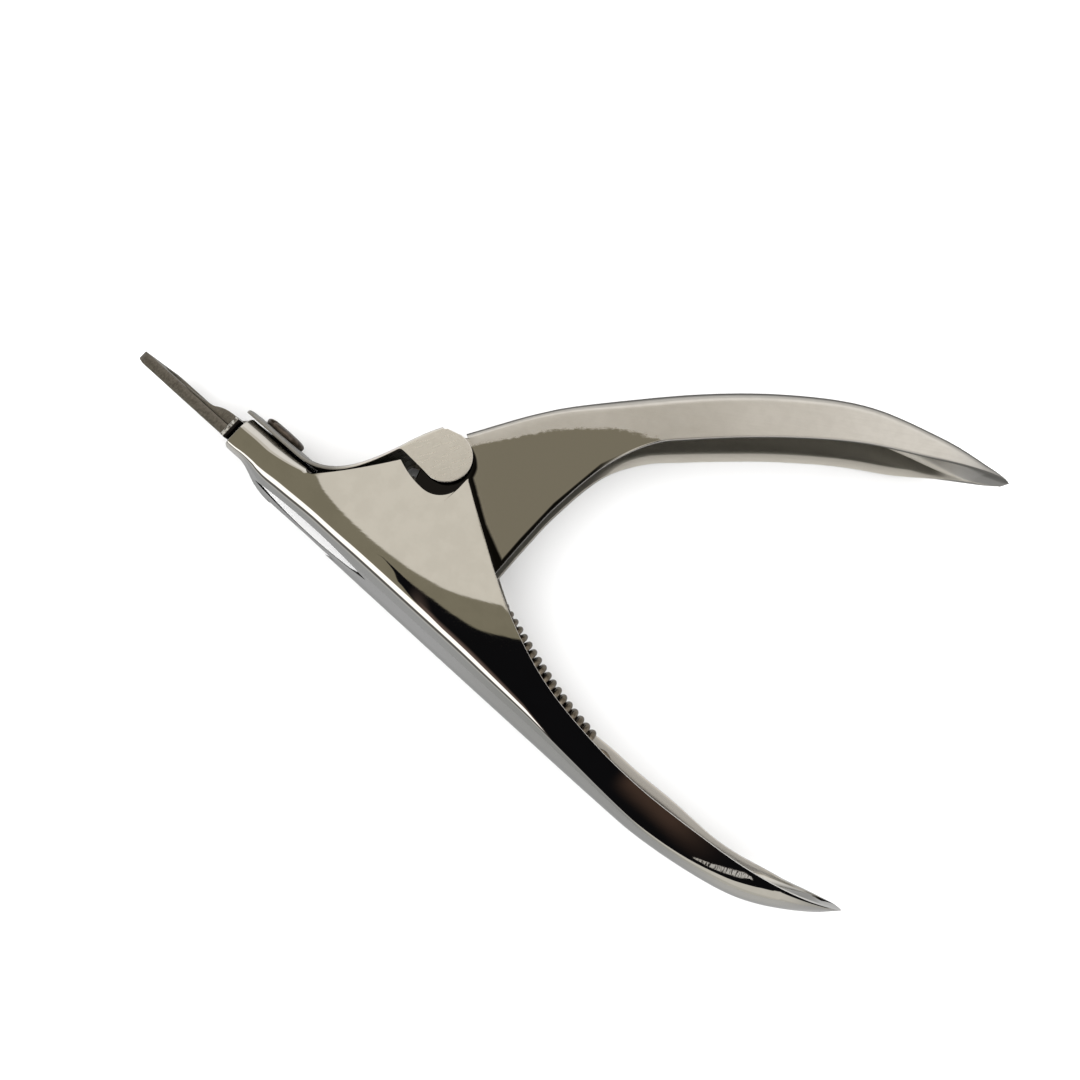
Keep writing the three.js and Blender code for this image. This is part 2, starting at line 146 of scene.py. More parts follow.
def evenly(points, count):
    """The same line, resampled at even distances."""
    points = np.array(points, float)
    steps = np.linalg.norm(np.diff(points, axis=0), axis=1)
    length = np.concatenate([[0], np.cumsum(steps)])
    at = np.linspace(0, length[-1], count)
    return np.stack([np.interp(at, length, points[:, k]) for k in range(points.shape[1])], 1)


def chain(*lines):
    """Lines end to end, without repeated points."""
    return np.vstack([lines[0]] + [part[1:] for part in lines[1:]])


# -------- meshes


def build(name, points, faces, body, material, sharp_angle=32):
    """A mesh object from points in millimetres from the pivot. It rides on a body."""
    mesh = bpy.data.meshes.new(name)
    mesh.from_pydata([tuple(PIVOT + Vector(p) * MM) for p in points], [], faces)
    mesh.validate()
    piece = bpy.data.objects.new(name, mesh)
    bpy.context.scene.collection.objects.link(piece)
    clean = bmesh.new()
    clean.from_mesh(mesh)
    bmesh.ops.remove_doubles(clean, verts=clean.verts, dist=2e-7)
    bmesh.ops.recalc_face_normals(clean, faces=clean.faces)
    if clean.calc_volume(signed=True) < 0:
        bmesh.ops.reverse_faces(clean, faces=clean.faces)
    clean.to_mesh(mesh)
    clean.free()
    smooth(piece, sharp_angle)
    if material:
        mesh.materials.append(material)
    if body:
        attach(piece, body)
    return piece


def smooth(piece, sharp_angle):
    piece.data.shade_smooth()
    piece.data.set_sharp_from_angle(angle=math.radians(sharp_angle))


def bake(piece, sharp_angle=32):
    """Turns the modifiers of a piece into its mesh."""
    bpy.context.view_layer.update()
    evaluated = piece.evaluated_get(bpy.context.evaluated_depsgraph_get())
    mesh = bpy.data.meshes.new_from_object(evaluated)
    piece.modifiers.clear()
    piece.data = mesh
    smooth(piece, sharp_angle)


def combine(piece, tool, operation="DIFFERENCE"):
    """Boolean of piece with tool; the tool is used up."""
    modifier = piece.modifiers.new("combine", "BOOLEAN")
    modifier.object = tool
    modifier.operation = operation
    modifier.solver = "EXACT"
    bake(piece)
    bpy.data.objects.remove(tool)


def round_edges(piece, width, segments=2):
    modifier = piece.modifiers.new("rounding", "BEVEL")
    modifier.width = width * MM
    modifier.segments = segments
    modifier.limit_method = "ANGLE"
    modifier.angle_limit = math.radians(35)
    modifier.use_clamp_overlap = True
    modifier.harden_normals = False
    bake(piece, 40)


def prism(name, outline, low, high, plane="xy", holes=(), body=None, material=None):
    """A straight prism. In plane "xy" it runs along Z, in plane "xz" along Y."""
    work = bmesh.new()
    edges = []
    for loop in (outline, *holes):
        verts = [work.verts.new((p[0], p[1], low)) for p in loop]
        edges += [work.edges.new((verts[i - 1], verts[i])) for i in range(len(verts))]
    if holes:
        faces = bmesh.ops.triangle_fill(work, use_beauty=True, edges=edges)["geom"]
    else:
        faces = [work.faces.new(work.verts)]
    faces = [f for f in faces if isinstance(f, bmesh.types.BMFace)]
    top = bmesh.ops.extrude_face_region(work, geom=faces)["geom"]
    moved = [v for v in top if isinstance(v, bmesh.types.BMVert)]
    bmesh.ops.translate(work, verts=moved, vec=(0, 0, high - low))
    work.verts.index_update()
    swap = (lambda c: (c[0], c[2], c[1])) if plane == "xz" else tuple
    points = [swap(v.co) for v in work.verts]
    faces = [[v.index for v in f.verts] for f in work.faces]
    work.free()
    return build(name, points, faces, body, material)


def ring_faces(rings, count, closed=False):
    """Faces between neighbouring rings of count points; closed joins the last ring to the first."""
    faces = []
    for i in range(rings if closed else rings - 1):
        step = count if i < rings - 1 else -i * count
        for k in range(count):
            a = i * count + k
            b = i * count + (k + 1) % count
            faces.append((a, b, b + step, a + step))
    return faces


def end_caps(rings, count):
    """The two faces that close the first and the last ring."""
    last = (rings - 1) * count
    return [tuple(range(count))[::-1], tuple(last + k for k in range(count))]


CORE = 0.01  # profiles of turned pieces start this far from the axis, so that no edge has no length


def lathe(name, profile, centre, axis, body, material, segments=96, closed=False):
    """A turned piece. The profile is (radius, height) from one end of the axis to the other, or, if closed,
    round the section of a ring."""
    up = Vector(axis).normalized()
    side = up.orthogonal().normalized()
    front = up.cross(side)
    points = []
    for radius, height in profile:
        for k in range(segments):
            angle = 2 * math.pi * k / segments
            spoke = side * math.cos(angle) + front * math.sin(angle)
            points.append(Vector(centre) + up * height + spoke * radius)
    faces = ring_faces(len(profile), segments, closed)
    if not closed:
        faces += end_caps(len(profile), segments)
    return build(name, points, faces, body, material)


def chamfered_pin(name, centre, radius, half, body, material):
    chamfer = 0.15
    lower = [(CORE, -half), (radius - chamfer, -half), (radius, chamfer - half)]
    upper = [(r, -height) for r, height in lower[::-1]]
    return lathe(name, lower + upper, centre, (0, 0, 1), body, material)


def loft(name, rings, body, material):
    """A closed solid through closed rings of points. Ring point i faces ring point -1-i across the sheet,
    so the two end rings are closed by strips between the two sides."""
    count = len(rings[0])
    points = [p for ring in rings for p in ring]
    faces = ring_faces(len(rings), count)
    for start in (0, (len(rings) - 1) * count):
        for k in range(count // 2 - 1):
            faces.append((start + k, start + k + 1, start + count - 2 - k, start + count - 1 - k))
    return build(name, points, faces, body, material)


# -------- folded channels

WALL_ROWS = 14
CURL_ROWS = 8
CROWN_STEPS = 20
RIM_ROWS = 6
FLARE_LENGTH = 1.5
RIM_ROUND = 0.26
LAST_SHARE = 0.9985  # how far along a handle its last section is; the tip follows


class Station:
    """One cross-section of a folded channel, in the XY plane and across it.

    back is the middle of its back and top the rim, into points from the back into the channel, crown is
    the height of the rounded back, and half(x) half the width. curl is the angle in degrees by which both
    rims are rolled inward over curl_length, flare turns the far rim outward, rise makes the far wall
    taller, square makes the back flatter, and sheet is the thickness.
    """

    def __init__(self, back, top, into, crown, half, curl=0.0, curl_length=2.3, flare=0.0, rise=0.0,
                 square=2.2, sheet=SHEET):
        self.back = np.array(back, float)
        self.top = np.array(top, float)
        self.into = np.array(into, float) / np.linalg.norm(into)
        reach = np.linalg.norm(self.top - self.back)
        self.crown = min(max(crown, sheet), 0.95 * reach)
        self.half = half
        self.near_curl = math.radians(max(curl, 0.05))
        self.far_curl = math.radians(max(curl, 0.05) - flare)
        self.curl_length = curl_length
        self.rise = rise
        self.square = square
        self.sheet = min(sheet, 0.8 * self.crown)

    def wall(self, curl, rise):
        """Rows of a wall from the rim down to the crease, on the near side: position and normal."""
        crease = self.back + self.into * self.crown
        run = self.top - crease
        height = max(np.linalg.norm(run), 1e-4)
        along = run / height
        height += rise
        curled = min(self.curl_length if curl > 0 else FLARE_LENGTH, 0.6 * height)
        bend = curl / curled
        straight = height - math.sin(curl) / bend
        rows = []
        for share in np.linspace(1, 0, CURL_ROWS, endpoint=False):
            turn = curl * share
            spot = crease + along * (straight + math.sin(turn) / bend)
            z = self.half(spot[0]) - self.sheet / 2 - (1 - math.cos(turn)) / bend
            rows.append((*spot, z, *(along * math.sin(turn)), math.cos(turn)))
        for share in np.linspace(1, 0, WALL_ROWS, endpoint=False):
            spot = crease + along * straight * share
            rows.append((*spot, self.half(spot[0]) - self.sheet / 2, 0, 0, 1))
        return rows

    def rounded_back(self):
        """Superellipses from the crease to the middle of the back: points of the outer and inner face."""
        outer, inner = [], []
        for angle in np.linspace(0, math.pi / 2, CROWN_STEPS):
            side = abs(math.cos(angle)) ** (2 / self.square) if angle < 1.57 else 0.0
            fall = math.sin(angle) ** (2 / self.square)
            for face, inset in ((outer, 0.0), (inner, self.sheet)):
                spot = self.back + self.into * (self.crown - (self.crown - inset) * fall)
                face.append((*spot, max(self.half(spot[0]) - inset, 1e-3) * side))
        return np.array(outer), np.array(inner)

    def side_faces(self, curl, rise):
        """Outer face, inner face and rim of the near side, each from the rim to the middle of the back."""
        rows = np.array(self.wall(curl, rise))
        spots, normals = rows[:, :3], rows[:, 3:]
        outer = spots + normals * self.sheet / 2
        inner = spots - normals * self.sheet / 2
        rim = self.rim(spots, normals, outer, inner)
        outer_back, inner_back = self.rounded_back()
        return np.vstack([outer, outer_back]), np.vstack([inner, inner_back]), rim

    def ring(self):
        """Closed ring of points round the sheet: out along its outer face and back along the inner one."""
        flip = np.array([1, 1, -1])
        near_outer, near_inner, near_rim = self.side_faces(self.near_curl, 0.0)
        far_outer, far_inner, far_rim = self.side_faces(self.far_curl, self.rise)
        outer = np.vstack([near_outer, far_outer[::-1][1:] * flip])
        inner = np.vstack([near_inner, far_inner[::-1][1:] * flip])
        split = RIM_ROWS // 2
        first, last = near_rim[:split][::-1], near_rim[split:][::-1]
        return np.vstack([first, outer, far_rim * flip, inner[::-1], last])

    def rim(self, spots, normals, outer, inner):
        """Rounded rim from the outer to the inner face. Both faces end a little short of it."""
        out = spots[0] - spots[1]
        gap = np.linalg.norm(out)
        out = out / gap
        tuck = min(RIM_ROUND * self.sheet, 0.7 * gap)
        outer[0] -= out * tuck
        inner[0] -= out * tuck
        points = []
        for angle in np.radians(np.linspace(90, -90, RIM_ROWS + 2)[1:-1]):
            reach = tuck * (math.cos(angle) ** 0.6 - 1)
            lift = math.copysign(abs(math.sin(angle)) ** 0.6, math.sin(angle)) * self.sheet / 2
            points.append(spots[0] + normals[0] * lift + out * reach)
        return np.array(points)


def tip_sheet(half):
    """Thickness of the sheet, thinner where the channel narrows to its tip."""
    return SHEET * min(1.0, 0.12 + 0.32 * half)


def channel(name, stations, body, material, tip=None, front_round=0.28):
    """A folded channel through its stations. front_round rounds the edges of its front end, and tip is the
    point in which the other end closes."""
    rings = [station.ring() for station in stations]
    first = rings[0]
    middle = (first + first[::-1]) / 2
    forward = first.mean(0) - rings[1].mean(0)
    forward /= np.linalg.norm(forward)
    ends = []
    for angle in np.radians((85, 60, 35, 15) if front_round else ()):
        shrink = 1 - 2 * front_round * (1 - math.cos(angle))
        ends.append(middle + (first - middle) * shrink + forward * front_round * math.sin(angle))
    if tip:
        rings.append(np.array([(*tip, 0.0)] * len(first)))
    return loft(name, ends + rings, body, material)


# -------- body


def body_back():
    """Middle line of the back, from the nose to the tip of the lower handle."""
    start, step = (-23.2, NOSE_BOTTOM), (-16.5, -22.0)
    return chain(
        bezier((-30, NOSE_BOTTOM), start, 30),
        bezier(start, (-21, NOSE_BOTTOM), (-20.6, -21.9), step, 60),
        spline([step, (-5, -22.2), (20, -22.35), (46, -22.4), (56, -22.05), (66.7, -20.3),
                (73, -18), (79, -14.1), LOWER_TIP], 400),
    )


def body_rims():
    """The upper edge of the near cheek in runs: (start and end on the back, points of the edge)."""
    nose_end, cheek_foot, cheek_top = -13.7, (-13.0, NOSE_TOP), (-4.95, -4.75)
    notch_low, notch_centre, notch_radius = (0.1, -5.8), (0.1, -1.9), 3.9
    notch = chain(arc(notch_centre, notch_radius, -90, 0, 30), bezier((4, -1.9), (4, -0.6), 4))
    rear = spline([(4.25, -0.75), (10, -4.4), (20, -10.3), (30, -14.3), (40, -16.1), (50, -16.6),
                   (61, -15.9), (68, -15.05), (75, -13.4), LOWER_TIP], 600)
    return [
        (NOSE_FRONT, -13.4, bezier((NOSE_FRONT, NOSE_TOP), (nose_end, NOSE_TOP), 60)),
        (-13.4, -9.0, bezier((nose_end, NOSE_TOP), cheek_foot, (-12.4, -14.0), 8)),
        (-9.0, -4.0, bezier((-12.4, -14.0), (-8.9, -10.3), cheek_top, 34)),
        (-4.0, 0.0, bezier(cheek_top, (-2.4, notch_low[1]), notch_low, 20)),
        (0.0, 2.6, evenly(notch, 30)),
        (2.6, 3.0, bezier((4, -0.6), (4.02, -0.4), (4.25, -0.75), 5)),
        (3.0, LOWER_TIP[0], rear),
    ]


def body_half(x):
    taper = BODY_HALF - 1.4 * ease(x, 30, 74)
    bow = clamp((x - 70) / (LOWER_TIP[0] - 69.7))
    return taper * math.sqrt(1 - bow * bow)


def body_crown():
    """Height of the rounded back at places along it."""
    nose = [(-26, 1.55), (-23.5, 1.7), (-22, 2.0), (-20, 2.95), (-18.5, 3.65), (-16.5, 4.2), (-13, 4.3)]
    middle = [(-5, 4.4), (0, 4.55), (10, 4.6), (20, 4.55), (30, 3.85), (40, 3.0), (50, 2.25)]
    tip = [(60, 2.15), (67, 2.7), (73, 3.3), (84, 3.3)]
    return spline(nose + middle + tip, 400)


def body_flare(x):
    """How far the far rim turns outward, in degrees: most along the spring, less towards the tip."""
    return 18 * ease(x, 32, 44) * (1 - 0.6 * ease(x, 54, 67)) * (1 - ease(x, 70, 80))


def body_rise(x):
    """How much the far wall is taller than the near one."""
    return 0.9 * ease(x, 36, 46) - 0.7 * ease(x, 54, 66) + 0.6 * ease(x, 68, 76) - 0.8 * ease(x, 77, 81.5)


def body_square(x):
    """How flat the back is: boxy at the nose, round behind it."""
    return 4.2 - 1.7 * ease(x, -24, -20) - 0.42 * ease(x, -18, -8) - 0.18 * ease(x, 22, 34)


def body_stations():
    back, crown = body_back(), body_crown()
    nose_curl, lip_length, lip_shrink = 78, 2.4, 1.9
    stations = []
    for start, stop, edge in body_rims():
        tail = stop == LOWER_TIP[0]
        shares = np.linspace(0, 1, 300 if tail else len(edge))
        if tail:
            shares = 1 - (1 - shares) ** 1.3
        for share in np.minimum(shares[1 if stations else 0 :], LAST_SHARE):
            x = mix(start, stop, share)
            if tail:
                top_x = mix(edge[0][0], stop, share)
                top = (top_x, np.interp(top_x, edge[:, 0], edge[:, 1]))
            else:
                k = share * (len(edge) - 1)
                i = min(int(k), len(edge) - 2)
                top = mix(edge[i], edge[i + 1], k - i)
            lean = math.pi / 2 + 0.85 * ease(x, 52, LOWER_TIP[0])
            lip = clamp((x + 25) / 11)
            stations.append(Station(
                back=(x, np.interp(x, back[:, 0], back[:, 1])),
                top=top,
                into=(math.cos(lean), math.sin(lean)),
                crown=np.interp(x, crown[:, 0], crown[:, 1]),
                half=body_half,
                curl=nose_curl * (1 - ease(x, -14.4, -13.2)),
                curl_length=lip_length - lip_shrink * lip**2.4,
                flare=body_flare(x),
                rise=body_rise(x),
                square=body_square(x),
                sheet=tip_sheet(body_half(x)),
            ))
    return stations


def cut_window(body):
    """The long narrow window: a slit in the near shoulder and a taller opening behind it."""
    slit = {"ends": (-18.9, 2.7), "ends_y": -20.65, "low": -22.0, "high": -19.5}
    opening = {"ends": (-21.0, 0.4), "ends_y": -20.9, "low": -24.2, "high": -18.0}
    for lens, z_low, z_high in ((slit, 2.4, BODY_HALF + 1), (opening, -BODY_HALF - 1, 3.0)):
        left, right = ((x, lens["ends_y"]) for x in lens["ends"])
        middle = sum(lens["ends"]) / 2
        lower = bezier(left, (middle, lens["low"]), right, 40)
        upper = bezier(right, (middle, lens["high"]), left, 40)
        combine(body, prism("window", chain(lower, upper)[:-1], z_low, z_high))


# -------- lever

LEVER_BACK = [(-1.45, 4.65), (4.1, 13.5), (9.2, 20.1), (19.2, 30.8), (29.3, 39.7), (39.5, 46.4),
              (49.8, 49.9), (57, 51.3), UPPER_TIP]
# Rim of the grip: how far along the back, and where.
GRIP_RIM = [(0.063, 15.7, -9.4), (0.10, 15.6, -2), (0.155, 15.8, 5), (0.226, 17.1, 13.7),
            (0.31, 20, 20.6), (0.40, 24.4, 25.4), (0.562, 33.6, 33.8), (0.708, 42.6, 40.7),
            (0.837, 51, 45.6), (0.926, 57.4, 49.2), (1.0, *UPPER_TIP)]


def lever_rims():
    """Edge of the near lever wall: round the hub, down the arm, round its end and along the grip."""
    hub, hub_radius, arm_end = (0, 0), 3.4, 2.0
    drive = (DRIVE_PIN.x, DRIVE_PIN.y)
    hub_arc = arc(hub, hub_radius, 138, 197, 14)
    end_arc = arc(drive, arm_end, 180, 315, 16)
    heel = bezier(end_arc[-1], (9, -14.6), (13.6, -12.9), 12)
    corner = bezier(heel[-1], (15.6, -12), GRIP_RIM[0][1:], 10)
    grip = spline(GRIP_RIM, 260)
    runs = [
        (0.0, 0.010, hub_arc),
        (0.010, 0.022, bezier(hub_arc[-1], end_arc[0], 16)),
        (0.022, 0.034, end_arc),
        (0.034, 0.048, heel),
        (0.048, 0.063, corner),
    ]
    places = []
    for start, stop, edge in runs:
        places += [(mix(start, stop, k / (len(edge) - 1)), *edge[k]) for k in range(len(edge) - 1)]
    places += [tuple(row) for row in grip]
    return places


def lever_half(share):
    flare = LEVER_HALF + (GRIP_HALF - LEVER_HALF) * ease(share, 0.24, 0.5)
    taper = flare - 1.1 * ease(share, 0.62, 0.95)
    bow = clamp((share - 0.86) / 0.1425)
    return taper * math.sqrt(1 - bow * bow)


def lever_stations():
    back = evenly(spline(LEVER_BACK, 600), 1200)
    tangents = np.gradient(back, axis=0)
    stations = []
    for share, x, y in lever_rims():
        share = min(share, LAST_SHARE)
        k = share * (len(back) - 1)
        spot = mix(back[int(k)], back[min(int(k) + 1, len(back) - 1)], k - int(k))
        tangent = tangents[int(k)]
        half = lever_half(share)
        stations.append(Station(
            back=spot,
            top=(x, y),
            into=(tangent[1], -tangent[0]),
            crown=1.5 + 0.7 * ease(share, 0.1, 0.35) - 0.8 * ease(share, 0.85, 1.0),
            half=lambda _, half=half: half,
            flare=36 * ease(share, 0.2, 0.32) * (1 - ease(share, 0.82, 0.95)),
            rise=0.8 * ease(share, 0.2, 0.36) * (1 - ease(share, 0.78, 0.97)),
            square=2.1,
            sheet=tip_sheet(half),
        ))
    return stations


def upright_bore(x, radius, low, high):
    return lathe("bore", [(radius, low), (radius, high)], (x, 0, 0), (0, 1, 0), None, None, 48)


# -------- cover strap

STRAP_SHEET = 0.65
EAR = {"centre": (-0.4, -0.2), "radius": 3.7}
EAR_FOOT = -3.55


def strap_line():
    """Middle line of the strap: over the nose, down behind it and up to the ears."""
    foot, waist, top = (-16.5, -13.72), (-6.5, -3.5), (-3.75, 2.65)
    return chain(
        bezier((STRAP_LOW.x + 0.35, -13.82), foot, 40),
        bezier(foot, (-11.2, -13.6), (-8.9, -9.8), waist, 60),
        bezier(waist, (-5.2, 0.4), top, 40),
    )


def strap_stations():
    """Flat over the nose; from EAR_FOOT up, both edges are folded down as ears."""
    count, upper_start = 240, 232
    path = evenly(strap_line(), count)
    tangents = np.gradient(path, axis=0)
    ear_start = int(np.argmin(np.abs(path[:, 1] - EAR_FOOT)))
    round_end = arc(EAR["centre"], EAR["radius"], -100, 98, 60)
    lower_edge = bezier(path[ear_start] + (0.75, 0.0), round_end[0], 10)
    upper_edge = bezier(round_end[-1], path[-1] + (0.85, 0.25), 8)
    outline = np.vstack([lower_edge, round_end[1:-1], upper_edge])
    backs = np.concatenate([
        np.linspace(ear_start, ear_start + 6, 10),
        np.linspace(ear_start + 7, upper_start - 1, 58),
        np.linspace(upper_start, count - 1, 8),
    ])
    places = [(k, None) for k in range(0, ear_start, 3)] + list(zip(backs, outline))
    stations = []
    for k, top in places:
        i = min(int(k), len(path) - 2)
        spot = mix(path[i], path[i + 1], k - i)
        tangent = tangents[i] / np.linalg.norm(tangents[i])
        into = np.array([tangent[1], -tangent[0]])
        back = spot - into * STRAP_SHEET / 2
        stations.append(Station(
            back=back,
            top=back + into * (STRAP_SHEET + GAP) if top is None else top,
            into=into,
            crown=STRAP_SHEET + 0.03,
            half=lambda _: BODY_HALF,
            square=6 - 3.4 * ease(spot[0], -13, -6),
            sheet=STRAP_SHEET,
        ))
    return stations


# -------- plates, block, screw

BORE = 1.56
PLATE_HALF = 5.2
HEAD_HALF = GUARD_HIGH.z
HEAD = {"front": -26.9, "back": -25.75}
PLATE_BOTTOM = GUARD_LOW.y
PLATE = GUARD_HIGH.y - GUARD_LOW.y
GUARD_HALF = 5.6
BLADE_BOTTOM = GUARD_HIGH.y + GAP
BLADE_TOP = BLADE_BOTTOM + PLATE
SCREW_X = (SCREW_LOW.x + SCREW_HIGH.x) / 2
STROKE = 7.6


def rectangle(left, right, low, high):
    return [(left, low), (right, low), (right, high), (left, high)]


def headed_outline(front, back):
    """Plan of a plate: its front, the wide head and the tail."""
    corner = arc((HEAD["front"] + 0.5, HEAD_HALF - 0.5), 0.5, 180, 90, 8)
    near = [*corner, (HEAD["back"], HEAD_HALF), (HEAD["back"], PLATE_HALF), (back, PLATE_HALF)]
    far = [(x, -z) for x, z in near[::-1]]
    return [*front, *near, *far]


def guard_plate(material):
    corner = 2.6
    tip, half = GUARD_LOW.x, GUARD_HALF
    upper = bezier((tip + corner, half), (tip + 0.3, half), (tip + 0.3, half - corner), 14)
    nose = bezier(upper[-1], (tip - 0.3, 0), (tip + 0.3, corner - half), 24)
    lower = upper * (1, -1)
    front = [(HEAD["front"], -half), *lower, *nose[::-1][1:-1], *upper[::-1], (HEAD["front"], half)]
    front_x, back_x, hole = -42.3, -33.5, 4.0
    opening = [(back_x, -hole), (back_x, hole), *arc((front_x + hole, 0), hole, 90, 270, 40)]
    top = PLATE_BOTTOM + PLATE
    plan = prism("plan", headed_outline(front, -9), PLATE_BOTTOM, top, "xz", [opening])
    side = [(tip - 1, PLATE_BOTTOM + 1.0), (tip, PLATE_BOTTOM + 0.72), (tip + 0.9, PLATE_BOTTOM + 0.2),
            (tip + 2.2, PLATE_BOTTOM), (-8, PLATE_BOTTOM), (-8, top), (tip + 1.2, top), (tip, top - 0.1),
            (tip - 1, top - 0.4)]
    plate = prism("guard_plate_ground", side, -HEAD_HALF - 1, HEAD_HALF + 1, "xy", (), "frame", material)
    combine(plate, plan, "INTERSECT")
    combine(plate, upright_bore(SCREW_X, BORE, -22, -17))
    round_edges(plate, 0.09)
    return plate


def cutting_blade(material):
    edge_x, hollow, half, tail_half, tail_start = -35.8, 0.8, 5.4, 3.9, -9.6
    edge = bezier((edge_x, -half), (edge_x + 2 * hollow, 0), (edge_x, half), 40)
    front = [(HEAD["front"], -half), *edge, (HEAD["front"], half)]
    slot_half = 1.7
    slot = [*arc((SCREW_X, 0), slot_half, 90, 270, 24), *arc((SCREW_X + STROKE, 0), slot_half, -90, 90, 24)]
    plan = prism("plan", headed_outline(front, tail_start), BLADE_BOTTOM, BLADE_TOP, "xz", [slot])
    shoulder = (-30.4, BLADE_BOTTOM + 0.75)
    ramp = chain(
        bezier((edge_x - 0.2, BLADE_BOTTOM + 0.12), (-31.6, BLADE_BOTTOM + 0.15), shoulder, 16),
        bezier(shoulder, (-29.3, BLADE_TOP - 0.1), (-27.6, BLADE_TOP), 16),
    )
    side = [*ramp, (0, BLADE_TOP), (0, BLADE_BOTTOM), (edge_x - 0.2, BLADE_BOTTOM)]
    blade = prism("cutting_blade_ground", side, -HEAD_HALF - 1, HEAD_HALF + 1, "xy", (), "blade", material)
    combine(blade, plan, "INTERSECT")
    bridge = rectangle(tail_start - 0.5, 0, BLADE_BOTTOM, BLADE_TOP)
    combine(blade, prism("bridge", bridge, -tail_half, tail_half), "UNION")
    lug = rectangle(-0.4, BLADE_HIGH.x, BLADE_LOW.y, BLADE_HIGH.y)
    combine(blade, prism("lug", lug, -tail_half, tail_half), "UNION")
    room = 1.27
    slot = rectangle(DRIVE_PIN.x - room, DRIVE_PIN.x + room, DRIVE_PIN.y - 1.8, DRIVE_PIN.y + 1.35)
    combine(blade, prism("pin_slot", slot, -tail_half - 1, tail_half + 1))
    round_edges(blade, 0.05)
    return blade


def spacer_block(material):
    side = [(SPACER_LOW.x, BLADE_TOP + 0.08), (SPACER_HIGH.x, BLADE_TOP + 0.08),
            (SPACER_HIGH.x, SPACER_HIGH.y), (SPACER_LOW.x + 1.3, SPACER_HIGH.y)]
    block = prism("spacer_block_machined", side, -3.6, 3.6, body="frame", material=material)
    combine(block, upright_bore(SCREW_X, BORE, -17, -12))
    round_edges(block, 0.15, 3)
    return block


def clamp_screw(material):
    bottom, head, radius = SCREW_LOW.y, -13.46, 3.3
    shank, height, chamfer = 1.5, 1.08, 0.2
    foot_height, foot_width = 0.35, 0.25
    cap = [(radius * math.cos(a) ** 0.42, head + foot_height + (height - foot_height) * math.sin(a) ** 0.8)
           for a in np.linspace(0, math.pi / 2 - 0.001, 24)]
    foot = [(radius - foot_width * (1 - math.sin(a)), head + foot_height * (1 - math.cos(a)))
            for a in np.linspace(0, 1.57, 6)]
    profile = [(CORE, bottom), (shank - chamfer, bottom), (shank, bottom + chamfer), (shank, head), *foot,
               *cap[1:]]
    screw = lathe("clamp_screw_turned", profile, (SCREW_X, 0, 0), (0, 1, 0), "frame", material)
    slot_half, floor_y, turn = 0.45, head + 0.5, math.radians(34)
    along, across = np.array((-math.sin(turn), math.cos(turn))), np.array((math.cos(turn), math.sin(turn)))
    corners = rectangle(-4, 4, -slot_half, slot_half)
    slot = [(SCREW_X, 0) + along * a + across * b for a, b in corners]
    combine(screw, prism("driver_slot", slot, floor_y, floor_y + 2, "xz"))
    round_edges(screw, 0.06)
    return screw


def washer(name, low, high, material):
    inner, outer, edge = BORE, 2.9, 0.05
    profile = [(inner, low + edge), (inner + edge, low), (outer - edge, low), (outer, low + edge),
               (outer, high - edge), (outer - edge, high), (inner + edge, high), (inner, high - edge)]
    return lathe(name, profile, (0, 0, 0), (0, 0, 1), "frame", material, 72, closed=True)


# -------- spring

WIRE = 0.47  # radius of the wire
COIL = 1.9  # radius of its middle line
TURNS = 20.5
SAG = 0.65


def spring_line():
    """Middle of the wire: a loop round each pin and a close coil between them."""
    start, end = SPRING_HOOK, SPRING_ANCHOR
    along = (end - start).normalized()
    up = Vector((-along.y, along.x, 0))
    across = Vector((0, 0, 1))
    span = (end - start).length
    loop_radius, lead = 1.49, 3.0

    def at(a, b, c):
        return tuple(start + along * a + up * b + across * c)

    near = []
    for angle in np.radians(np.arange(-25, -271, -24.5)):
        near.append(at(loop_radius * math.cos(angle), loop_radius * math.sin(angle), 0))
    coil = []
    steps = round(TURNS * 10)
    for i in range(steps + 1):
        share = i / steps
        turn = share * TURNS * 2 * math.pi
        sag = SAG * math.sin(math.pi * share**1.6)
        coil.append(at(lead + share * (span - 2 * lead), COIL * math.cos(turn) - sag, COIL * math.sin(turn)))
    far = [(start.x + end.x - x, start.y + end.y - y, 0) for x, y, z in near]
    return spline([*near, *coil, *far[::-1]], 2600)


def return_spring(material):
    path = spring_line()
    tangents = np.gradient(path, axis=0)
    tangents /= np.linalg.norm(tangents, axis=1)[:, None]
    side = np.cross(tangents[0], (0, 0, 1))
    segments = 14
    points = []
    for spot, tangent in zip(path, tangents):
        side = side - tangent * (side @ tangent)
        side /= np.linalg.norm(side)
        other = np.cross(tangent, side)
        for k in range(segments):
            a = 2 * math.pi * k / segments
            points.append(spot + WIRE * (side * math.cos(a) + other * math.sin(a)))
    faces = ring_faces(len(path), segments) + end_caps(len(path), segments)
    return build("return_spring_wound", points, faces, None, material, 50)


# -------- shader arithmetic


